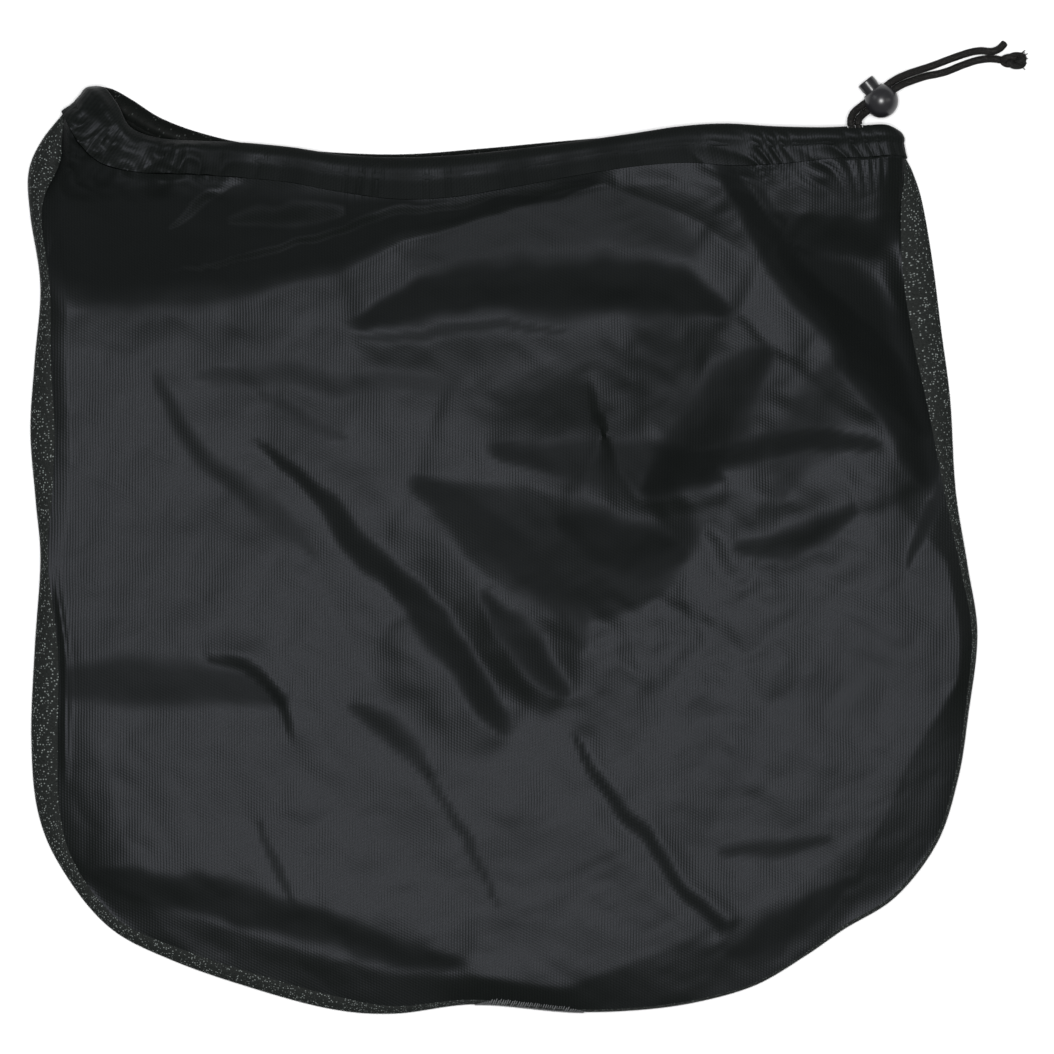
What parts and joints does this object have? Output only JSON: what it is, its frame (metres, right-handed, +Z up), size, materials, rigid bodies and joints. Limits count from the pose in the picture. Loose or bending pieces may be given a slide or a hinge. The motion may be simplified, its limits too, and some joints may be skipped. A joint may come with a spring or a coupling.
{
  "type": "drawstring pouch",
  "caption": "Black microfibre drawstring pouch lying flat and slightly puffed, with a knit back, a gathered hem and a ball cord lock.",
  "frame": {"origin": "on the table, under the middle of the pouch's outline", "axes": "+X to the drawstring's side, +Y out of the mouth, +Z up from the table"},
  "size_m": [0.4409, 0.4293, 0.0297],
  "materials": {
    "microfibre": "smooth warp knit with fine ribs and a soft sheen",
    "knit_back": "coarse mesh-like knit with small bright dots",
    "cord": "matte braid",
    "lock_plastic": "glossy black"
  },
  "bodies": {
    "pouch": {"front_panel": "microfibre", "back_panel": "knit_back", "front_hem": "microfibre", "back_hem": "knit_back", "drawstring_run": "cord", "drawstring_end_a": "cord", "drawstring_end_b": "cord", "drawstring_knot": "cord", "cord_lock_ball": "lock_plastic"},
    "lock_button": {"cord_lock_button": "lock_plastic"}
  },
  "joints": [
    {"name": "button_press", "type": "slide", "parent": "pouch", "child": "lock_button", "axis": [0.6252, -0.7804, 0], "range_m": [0, 0.0025], "stiffness_N_per_m": 400, "springref_m": -0.004}
  ]
}
